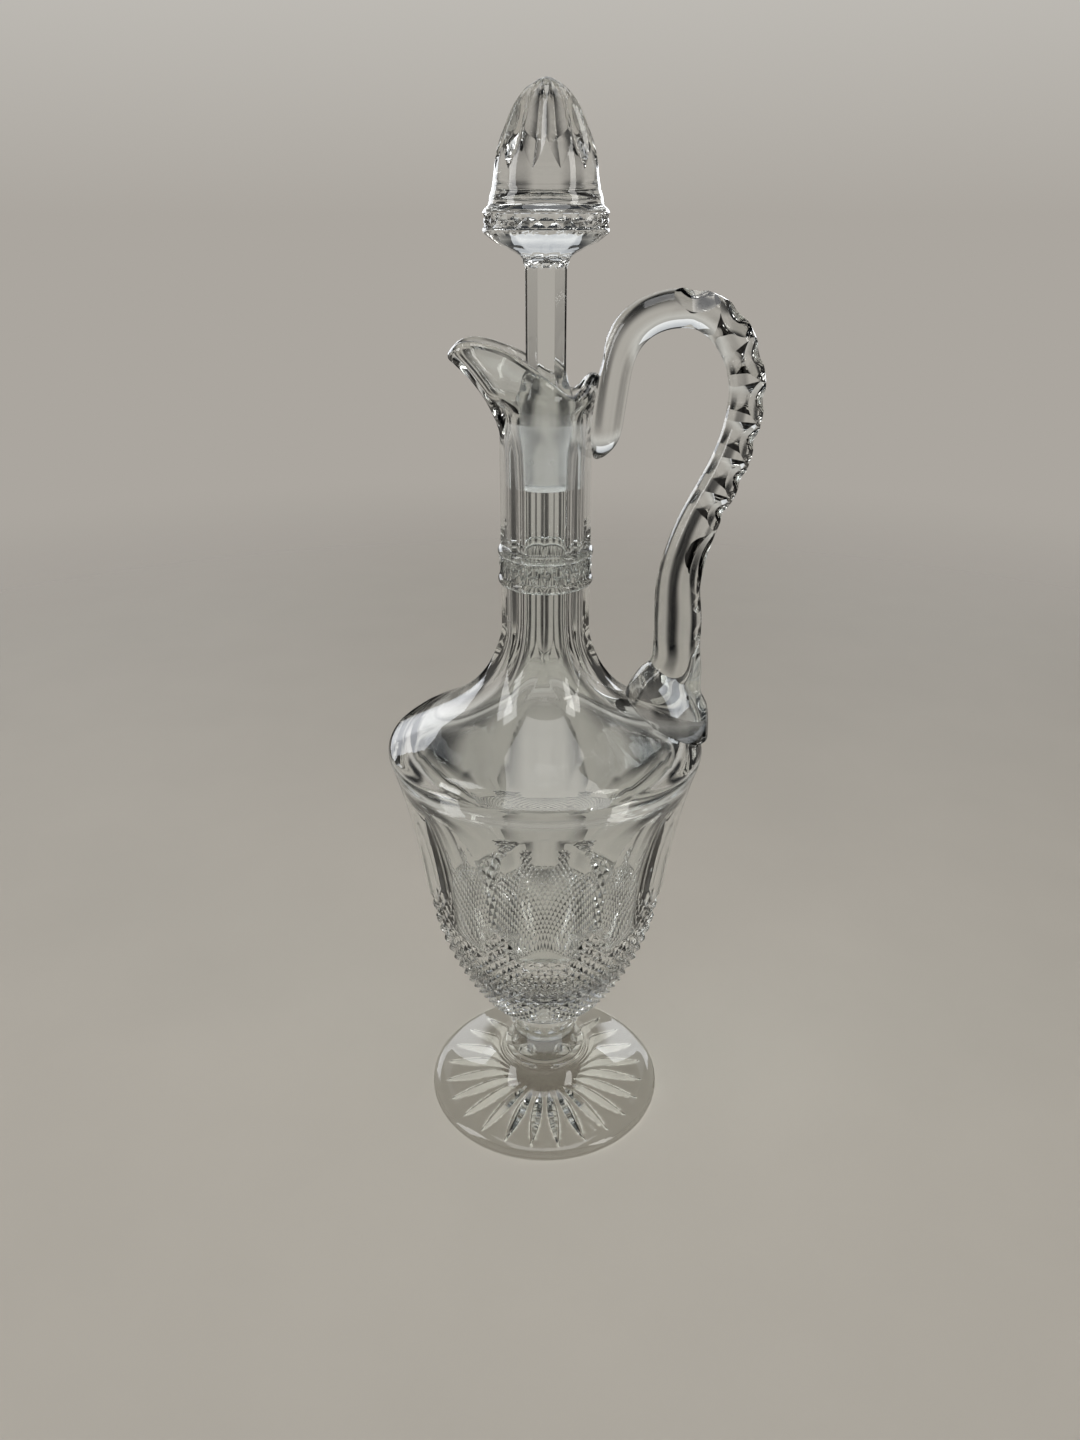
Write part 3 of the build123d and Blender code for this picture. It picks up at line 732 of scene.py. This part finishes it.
knots = lengths(spots)


def rod(at):
    """Centre, half thickness in the plane of the handle and across it, at a distance along the rod."""
    x, z, thick, wide = (smooth_through(knots, v, at) for v in (spots[:, 0], spots[:, 1], *stations[:, 2:].T))
    return x, z, thick / 2, wide / 2


def rod_point(at, turn):
    """The rod's centre, the way out of its back, and a surface point's distances out and aside.

    Turn 0 is the back of the handle, away from the neck.
    """
    x, z, thick, wide = rod(at)
    ahead, behind = rod(at + 0.4), rod(at - 0.4)
    dx, dz = ahead[0] - behind[0], ahead[1] - behind[1]
    size = np.hypot(dx, dz)
    out, side = thick * np.cos(turn), wide * np.sin(turn)
    return np.stack([x, 0 * x, z], -1), np.stack([dz / size, 0 * x, -dx / size], -1), out, side


print("rod", round(knots[-1], 1), "mm long")

# %% The pairs of facets down its back
PAD_TOP, LOW_BEND, CROWN = knots[4], knots[9], knots[15]
CUT_LENGTH, LONG_CUT, DENT, DENT_PITCH = 11.0, 23.0, 6.0, 9.0


def pair(place, length, depth, aside):
    """Two hollow facets side by side: place along the rod, length, depth and angle from the back."""
    return [(place, length, depth, -aside), (place, length, depth, aside)]


cuts = []
place = CROWN + 3.0
while place > LOW_BEND - 4:
    cuts += pair(place, CUT_LENGTH, 2.1, 42)
    place -= CUT_LENGTH
cuts += pair(place - 6, LONG_CUT, 1.4, 40)
place -= 21
while place > PAD_TOP + 8:
    cuts += pair(place, DENT, 0.8, 30)
    place -= DENT_PITCH
print(len(cuts), "hollow facets")


def facet_share(at, turn):
    """The share of the plain thickness that the facets leave, over 1 where there is none."""
    _, _, thick, wide = rod(at)
    x, y = thick * np.cos(turn), wide * np.sin(turn)
    share = np.full(np.broadcast(at, turn).shape, 3.0)
    for place, length, depth, aside in cuts:
        a = math.radians(aside)
        support = np.hypot(thick * math.cos(a), wide * math.sin(a))
        hollow = (at - place) ** 2 * (depth + 0.12) / (length / 2) ** 2
        facing = x * math.cos(a) + y * math.sin(a)
        left = (support - depth + hollow) / np.maximum(facing, 0.05)
        share = np.where(facing > 0.05, np.minimum(share, left), share)
    return share


# %% Rings of the rod, from the pad to the tail
ROD_AROUND, ROD_STEP, TAIL_ROUND = 64, 0.5, 10.0
rod_stops = np.arange(PAD_TOP, knots[-1] - 0.3, ROD_STEP)
rod_columns, rod_rows = np.meshgrid(np.arange(float(ROD_AROUND)), np.arange(float(len(rod_stops))))


def rod_edge(column, row):
    return facet_share(rod_stops[0] + row * ROD_STEP, column * 2 * math.pi / ROD_AROUND) - 1


rod_columns, rod_rows, on_cut = slide_to_edge(rod_edge, rod_columns, rod_rows)
rod_turn, rod_at = rod_columns * 2 * math.pi / ROD_AROUND, rod_stops[0] + rod_rows * ROD_STEP
centre, away, out, side = rod_point(rod_at, rod_turn)
to_tip = np.clip((rod_at - rod_stops[-1] + TAIL_ROUND) / TAIL_ROUND, 0, 0.985)
left = np.minimum(facet_share(rod_at, rod_turn), 1) * np.sqrt(1 - to_tip**2)
rod_grid = centre + away * (out * left)[..., None] + np.array([0, 1, 0]) * (side * left)[..., None]
print("rod:", rod_grid.shape[0], "rings")


# %% The pad, laid on the shoulder
SINK = 0.3


def shoulder_level(radius):
    """The level of the shoulder's surface at a radius, flat beyond its edge."""
    slope = bezier(SLOPE)[::-1]
    return np.interp(radius, slope[:, 0], slope[:, 1], right=EDGE_HIGH)


def settle(column_turn, steps):
    """A line of points down one side of the pad to where it meets the shoulder, a hair inside the glass."""
    at = np.linspace(PAD_TOP, 0.01, 400)
    middle, away, out, side = rod_point(at, np.full_like(at, column_turn))
    line = middle + away * out[:, None] + np.array([0, 1, 0]) * side[:, None]
    above = line[:, 2] - shoulder_level(np.hypot(line[:, 0], line[:, 1])) + SINK
    hit = int(np.argmax(above < 0)) or len(at) - 1
    picks = np.linspace(0, hit, steps + 1)[1:]
    return np.stack([np.interp(picks, np.arange(len(at)), line[:, k]) for k in range(3)], -1)


turns = np.arange(ROD_AROUND) * 2 * math.pi / ROD_AROUND
pad = np.stack([settle(t, 22) for t in turns], 1)[::-1]
pad_centre = pad[0].mean(0)
under_pad = []
for t in (0.2, 0.4, 0.6, 0.8):
    ring_points = pad_centre + (pad[0] - pad_centre) * t
    ring_points[:, 2] = shoulder_level(np.hypot(ring_points[:, 0], ring_points[:, 1])) - SINK
    under_pad.append(ring_points)
pad_centre[2] = float(shoulder_level(math.hypot(pad_centre[0], pad_centre[1]))) - SINK
print("pad rests at", round(float(pad_centre[2]), 1), "mm")


# %% The tail, laid against the back of the neck and the lip
def keep_out_of_neck(points):
    """Moves points that would be inside the neck out to a hair under its surface."""
    radius = np.hypot(points[..., 0], points[..., 1])
    angle = np.degrees(np.arctan2(points[..., 1], points[..., 0]))
    share = np.clip((points[..., 2] - LIP_LEVEL) / LIP_RISE, 0, 0.72)
    surface = lip_reach(angle, share) - SINK
    near = (points[..., 2] > 200) & (radius < surface) & (points[..., 0] > 0)
    scale = np.where(near, surface / np.maximum(radius, 1e-6), 1)
    return points * np.stack([scale, scale, np.ones_like(scale)], -1)


rod_grid = keep_out_of_neck(rod_grid)
handle_rows = np.concatenate([np.array(under_pad), pad, rod_grid])
on_edge = np.zeros(handle_rows.shape[:2], bool)
on_edge[-len(rod_grid) :] = on_cut
tail_end = rod_grid[-1].mean(0)
handle = skin("handle_drawn", handle_rows, [pad_centre, tail_end], on_edge, sharp=16)
dress(handle, "handle", "jug", [drawn_crystal])

# %% [markdown]
# ## The stopper
# The stopper is solid: a ground plug, a shank cut to eight flats, a cup with twelve flats,
# a collar with a band of small crossed cuts, and a pointed dome with twelve leaf-shaped mitre
# cuts that meet at the tip. It is one grid again, with points slid to every edge.

# %% The stopper's outline
STOPPER_AROUND, COLLAR_STEPS_A_HALF, COLLAR_GROOVE = 192, 4, 0.55
PLUG_LOW, PLUG_TAPER, STOPPER_TOP = 232.7, 0.052, 340.0
plug = [(3.5, PLUG_LOW), (6.4, PLUG_LOW), (6.9, 232.8)]
plug += [(7.15 + PLUG_TAPER * up, 233.1 + up) for up in (0, 3, 7, 11, 15, 18.9)]
flare = [
    (8.2, 253.6), (8.42, 256.4), (8.46, 257.6), (8.3, 258.5), (7.9, 259.6),
    (7.3, 261.2), (6.8, 262.8), (6.45, 264.6), (6.28, 266.4),
]  # fmt: skip
shank = [(6.25, level) for level in (267.5, 268.5, 270, 273, 277, 281, 285, 288, 290.5, 292, 293, 294)]
cup = [
    (6.3, 295.2), (6.6, 296.0), (7.3, 296.9), (8.6, 297.7), (10.1, 298.4),
    (12.2, 299.3), (14.4, 300.3), (15.9, 301.2), (16.8, 302.0),
]  # fmt: skip
ridge_low = [(17.3, 302.6), (17.55, 303.1), (17.6, 303.5), (17.45, 303.8)]
collar_band = [(17.3, level) for level in np.linspace(304.0, 307.4, 2 * COLLAR_STEPS_A_HALF + 1)]
ridge_high = [
    (17.45, 307.6), (17.5, 307.9), (17.3, 308.3), (16.9, 308.8),
    (16.3, 309.3), (15.9, 309.8), (15.7, 310.4), (15.6, 311.2),
]  # fmt: skip
neckband = [(15.45, 312.0), (15.2, 312.7), (14.95, 313.3)]
dome = [
    (14.75, 314.2), (14.6, 315.0), (14.45, 315.9), (14.3, 316.9), (14.15, 318.1), (14.0, 319.4),
    (13.75, 320.8), (13.45, 322.2), (13.05, 323.7), (12.6, 325.2), (12.05, 326.8), (11.4, 328.4),
    (10.7, 330.0), (9.85, 331.6), (8.9, 333.2), (7.8, 334.8), (6.6, 336.2), (5.3, 337.4),
    (3.9, 338.4), (2.5, 339.15), (1.2, 339.7),
]  # fmt: skip
stopper_line = np.array(plug + flare + shank + cup + ridge_low + collar_band + ridge_high + neckband + dome)
first_band = len(plug + flare + shank + cup + ridge_low)
last_band = first_band + len(collar_band) - 1
stopper_angle = 360 / STOPPER_AROUND


def stopper_place(row):
    """Radius and level of the stopper's outline at a row."""
    return (np.interp(row, np.arange(len(stopper_line)), stopper_line[:, k]) for k in (0, 1))


# %% The flats and the leaves
SHANK_FLATS, LEAVES = 8, 12
LEAF_LOW, LEAF_TALL, LEAF_DEPTH, LEAF_HALF_ANGLE = 318.0, 22.0, 2.1, 58


def shank_flats(column, row):
    """How far the shank's eight flats lie inside its round outline."""
    radius, level = stopper_place(row)
    run_out = np.maximum(265.5 - level, 0) * 0.35 + np.maximum(level - 294.3, 0) * 1.4
    return (5.8 + run_out) / np.cos(np.radians(from_centre(column * stopper_angle, SHANK_FLATS))) - radius


def cup_flats(column, row):
    """Twelve flats under the collar, which leave its lower edge scalloped."""
    radius, level = stopper_place(row)
    beyond = np.maximum(295.8 - level, 0) * 3 + np.maximum(level - 302.4, 0) * 0.9
    reach = np.interp(level, [295.0, 297.0, 298.4, 300.3, 302.6], [7.4, 7.2, 9.75, 14.0, 17.0])
    from_flat = from_centre(column * stopper_angle, LEAVES, 180 / LEAVES)
    return (reach + beyond) / np.cos(np.radians(from_flat)) - radius


def leaf_cut(column, row):
    """How deep a mitre cut is at a place. Below nought there is no cut."""
    radius, level = stopper_place(row)
    share = np.clip((level - LEAF_LOW) / LEAF_TALL, 0, 1)
    deep = LEAF_DEPTH * np.sin(math.pi * share**0.8) ** 1.2 - 6 * np.maximum(LEAF_LOW - level, 0)
    deep = np.minimum(deep, radius * 0.2)
    beside = radius * np.abs(np.sin(np.radians(from_centre(column * stopper_angle, LEAVES, 180 / LEAVES))))
    return deep - beside / math.tan(math.radians(LEAF_HALF_ANGLE))


# %% Grid points slid to the edges of the flats and leaves
stopper_grid = np.arange(float(STOPPER_AROUND)), np.arange(float(len(stopper_line)))
stopper_columns, stopper_rows = np.meshgrid(*stopper_grid)
_, plain_level = stopper_place(stopper_rows)
on_line = np.zeros(stopper_rows.shape, bool)
for rule, low, high in ((shank_flats, 258, 296.5), (cup_flats, 296.5, 303.3), (leaf_cut, 313, 341)):
    slid_columns, slid_rows, slid = slide_to_edge(rule, stopper_columns, stopper_rows)
    zone = slid & (plain_level > low) & (plain_level < high)
    stopper_columns = np.where(zone, slid_columns, stopper_columns)
    stopper_rows = np.where(zone, slid_rows, stopper_rows)
    on_line |= zone
print(int(on_line.sum()), "points of the stopper lie on an edge")

# %% The stopper's skin, with the collar's crossed cuts
stopper_radius, stopper_level = stopper_place(stopper_rows)
in_band = (stopper_rows >= first_band) & (stopper_rows <= last_band)
half_cells = (stopper_columns / COLLAR_STEPS_A_HALF, (stopper_rows - first_band) / COLLAR_STEPS_A_HALF)
crossed = np.where(in_band, COLLAR_GROOVE * groove_share(*half_cells), 0)
flats = np.minimum(shank_flats(stopper_columns, stopper_rows), cup_flats(stopper_columns, stopper_rows))
flats = flats.clip(max=0) * (stopper_level > 258) * (stopper_level < 305)
reach = stopper_radius + flats - crossed - leaf_cut(stopper_columns, stopper_rows).clip(0)
half_column = np.arange(STOPPER_AROUND) // COLLAR_STEPS_A_HALF
lean = np.ones((len(stopper_line) - 1, STOPPER_AROUND), bool)
for row in range(first_band, last_band):
    lean[row] = (half_column + (row - first_band) // COLLAR_STEPS_A_HALF) % 2 == 0
stopper = skin(
    "stopper_cut",
    turned(reach, stopper_columns * stopper_angle, stopper_level),
    [(0, 0, PLUG_LOW), (0, 0, STOPPER_TOP)],
    on_line,
    lean,
)
ground_band(stopper, STOPPER_AROUND, 3, len(plug) - 1)
dress(stopper, "stopper", "stopper", [polished_crystal, ground_crystal])

# %% [markdown]
# ## Table, light and a dark sheet
# Clear glass has no colour of its own, so a plain pale table alone would leave it nearly
# unseen. Glass is drawn by what it bends into view: soft windows of light give it bright
# edges, and something dark round the table gives it dark ones. Separate black cards would
# show in the glass with hard edges. So one bowl-shaped sheet stands round the table, black
# in eight soft-edged places and clear between. It is hidden from the camera itself, so that
# only light that the glass bends or mirrors finds it.

# %% Sheets made of rings
SHEET_AROUND = 96


def sheet_of_rings(name, line, material, filled):
    """A round sheet through rings of a radius and level in metres, filled at the first ring or open."""
    radius, level = np.repeat(line, SHEET_AROUND, axis=0).T
    turn = np.tile(np.arange(SHEET_AROUND) * 2 * math.pi / SHEET_AROUND, len(line))
    faces = [list(range(SHEET_AROUND))] if filled else []
    for low in range(0, SHEET_AROUND * (len(line) - 1), SHEET_AROUND):
        high = low + SHEET_AROUND
        for k in range(SHEET_AROUND):
            after = (k + 1) % SHEET_AROUND
            faces.append([low + k, high + k, high + after, low + after])
    points = np.stack([radius * np.cos(turn), radius * np.sin(turn), level], -1)
    sheet = add_mesh(name, points, faces)
    sheet.data.materials.append(material)
    return sheet


def smooth_range(tree, source, start, end, low, high):
    """Maps a value from start and end to low and high, with a soft beginning and end."""
    limits = {"From Min": start, "From Max": end, "To Min": low, "To Max": high}
    limits["interpolation_type"] = "SMOOTHSTEP"
    return add_node(tree, "ShaderNodeMapRange", limits, {"Value": source}).outputs["Result"]


# %% Table top, painted matt
def table_paint(name, colour, spread, grain_mm, fade_start, fade_end):
    """Matt paint that varies a little. It fades out far off, so that it has no edge against the room."""
    material, tree, place = new_material(name)
    grain_size = {"Scale": 1 / (grain_mm * MM), "Detail": 4.0}
    grain = add_node(tree, "ShaderNodeTexNoise", grain_size, {"Vector": place})
    tone = add_node(
        tree,
        "ShaderNodeMapRange",
        {"From Min": 0.3, "From Max": 0.7, "To Min": 1 - spread, "To Max": 1.0},
        {"Value": grain.outputs["Fac"]},
    )
    toned = add_node(
        tree,
        "ShaderNodeVectorMath",
        {"operation": "SCALE", 0: linear(colour)[:3]},
        {"Scale": tone.outputs["Result"]},
    )
    paint = add_node(
        tree,
        "ShaderNodeBsdfPrincipled",
        {"Roughness": 0.7, "Specular IOR Level": 0.1},
        {"Base Color": toned.outputs[0]},
    )
    distance = add_node(tree, "ShaderNodeVectorMath", {"operation": "LENGTH"}, {0: place})
    share = smooth_range(tree, distance.outputs["Value"], fade_start, fade_end, 0.0, 1.0)
    air = add_node(tree, "ShaderNodeBsdfTransparent")
    ends = {0: share, 1: paint.outputs["BSDF"], 2: air.outputs["BSDF"]}
    mix = add_node(tree, "ShaderNodeMixShader", None, ends)
    add_node(tree, "ShaderNodeOutputMaterial", None, {"Surface": mix.outputs["Shader"]})
    return material


pale_paint = table_paint("pale_painted_table", "#C3BDB3", 0.03, 60, 0.35, 1.1)
table_line = [(0.14, 0.0), (0.56, 0.0), (1.4, 0.0)]
table_top = sheet_of_rings("table_top", table_line, pale_paint, filled=True)
table_top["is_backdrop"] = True

# %% The dark sheet, seen only by light that the glass bends or mirrors
DARK_PLACES = 8


def dark_in_places(name, colour):
    """Black in several places round the object and clear between, near it and far off."""
    material, tree, place = new_material(name)
    parts = add_node(tree, "ShaderNodeSeparateXYZ", None, {"Vector": place})
    sides = {0: parts.outputs["Y"], 1: parts.outputs["X"]}
    turn = add_node(tree, "ShaderNodeMath", {"operation": "ARCTAN2"}, sides)
    places = {"operation": "MULTIPLY", 1: float(DARK_PLACES)}
    turns = add_node(tree, "ShaderNodeMath", places, {0: turn.outputs[0]})
    wave = add_node(tree, "ShaderNodeMath", {"operation": "COSINE"}, {0: turns.outputs[0]})
    distance = add_node(tree, "ShaderNodeVectorMath", {"operation": "LENGTH"}, {0: place}).outputs["Value"]
    around = smooth_range(tree, wave.outputs[0], -0.9, 0.5, 1.0, 0.0)
    for start, end, low, high in ((0.14, 0.34, 0.0, 1.0), (0.45, 0.9, 1.0, 0.0)):
        part = smooth_range(tree, distance, start, end, low, high)
        around = add_node(tree, "ShaderNodeMath", {"operation": "MULTIPLY"}, {0: around, 1: part}).outputs[0]
    clear = add_node(tree, "ShaderNodeBsdfTransparent")
    black = add_node(tree, "ShaderNodeBsdfDiffuse", {"Color": linear(colour)})
    ends = {0: around, 1: clear.outputs["BSDF"], 2: black.outputs["BSDF"]}
    mix = add_node(tree, "ShaderNodeMixShader", None, ends)
    add_node(tree, "ShaderNodeOutputMaterial", None, {"Surface": mix.outputs["Shader"]})
    return material


sheet_line = [(0.15, 0.0004), (0.3, 0.02), (0.5, 0.08), (0.7, 0.2), (0.85, 0.45)]
dark_sheet = sheet_of_rings("cards", sheet_line, dark_in_places("black_cards", "#141517"), filled=False)
dark_sheet.visible_camera = dark_sheet.visible_diffuse = dark_sheet.visible_shadow = False
dark_sheet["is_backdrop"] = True


# %% Soft lamps
def softbox(name, place, aim, width, height, watts, colour):
    """A soft rectangular lamp that faces a point."""
    lamp = bpy.data.lights.new(name, "AREA")
    lamp.shape, lamp.size, lamp.size_y, lamp.energy = "RECTANGLE", width, height, watts
    lamp.color = linear(colour)[:3]
    holder = bpy.data.objects.new(name, lamp)
    bpy.context.scene.collection.objects.link(holder)
    holder.location = place
    toward = np.array(aim) - np.array(place)
    tilt = math.atan2(math.hypot(toward[0], toward[1]), -toward[2])
    holder.rotation_euler = (tilt, 0, math.atan2(toward[1], toward[0]) - math.pi / 2)
    return holder


softbox("window_behind", (0.0, 1.0, 0.95), (0, 0, 0.2), 1.2, 0.6, 1.3, "#F7FAFF")
softbox("window_left", (-1.0, -0.2, 0.75), (0, 0, 0.15), 0.35, 0.9, 4.4, "#FFFFFF")
softbox("window_right", (0.95, -0.55, 0.9), (0, 0, 0.15), 0.3, 0.8, 4.0, "#FFFDF8")
ceiling = softbox("ceiling", (0.0, -0.1, 1.5), (0, 0, 0), 1.0, 1.0, 7.5, "#FFFFFF")
# Seen in the glass only as a reflection, or it would burn out whole parts of it
ceiling.visible_transmission = False
# Low lamps behind, which only the polished surfaces mirror, as bright patches on shoulder and foot
for name, place, width, height, watts in (
    ("sheen_left", (-0.56, 1.0, 0.38), 0.7, 0.5, 3.2),
    ("sheen_right", (0.5, 1.02, 0.38), 0.45, 0.5, 2.4),
):
    sheen = softbox(name, place, (0, 0, 0.12), width, height, watts, "#F5F9FF")
    sheen.visible_transmission = sheen.visible_diffuse = sheen.visible_camera = False

# %% Room light: pale near the horizon, darker overhead
world = bpy.data.worlds.new("room")
world.use_nodes = True
bpy.context.scene.world = world
tree = world.node_tree
tree.nodes.clear()
direction = add_node(tree, "ShaderNodeTexCoord").outputs["Generated"]
height_of = add_node(tree, "ShaderNodeSeparateXYZ", None, {"Vector": direction})
ramp = add_node(tree, "ShaderNodeValToRGB", None, {"Fac": height_of.outputs["Z"]})
horizon, overhead = ramp.color_ramp.elements
horizon.position, horizon.color = 0.0, linear("#ABA69F")
overhead.position, overhead.color = 0.62, linear("#2C2F33")
ramp.color_ramp.elements.new(0.2).color = linear("#C2BFB9")
room = add_node(tree, "ShaderNodeBackground", {"Strength": 1.0}, {"Color": ramp.outputs["Color"]})
add_node(tree, "ShaderNodeOutputWorld", None, {"Surface": room.outputs["Background"]})
# Light crosses many surfaces in cut glass, so its paths are let run long
bounces = 24
cycles = bpy.context.scene.cycles
cycles.max_bounces = cycles.transmission_bounces = cycles.transparent_max_bounces = bounces
print("room light:", world.name)

# %% [markdown]
# ## Sizes
# The box of the dressed model is printed, in mm. The dressed model has to stay in the
# box of the solids.

# %% Sizes
low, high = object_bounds()
print("visual box mm:", [round(v / MM, 1) for v in (*low, *high)])
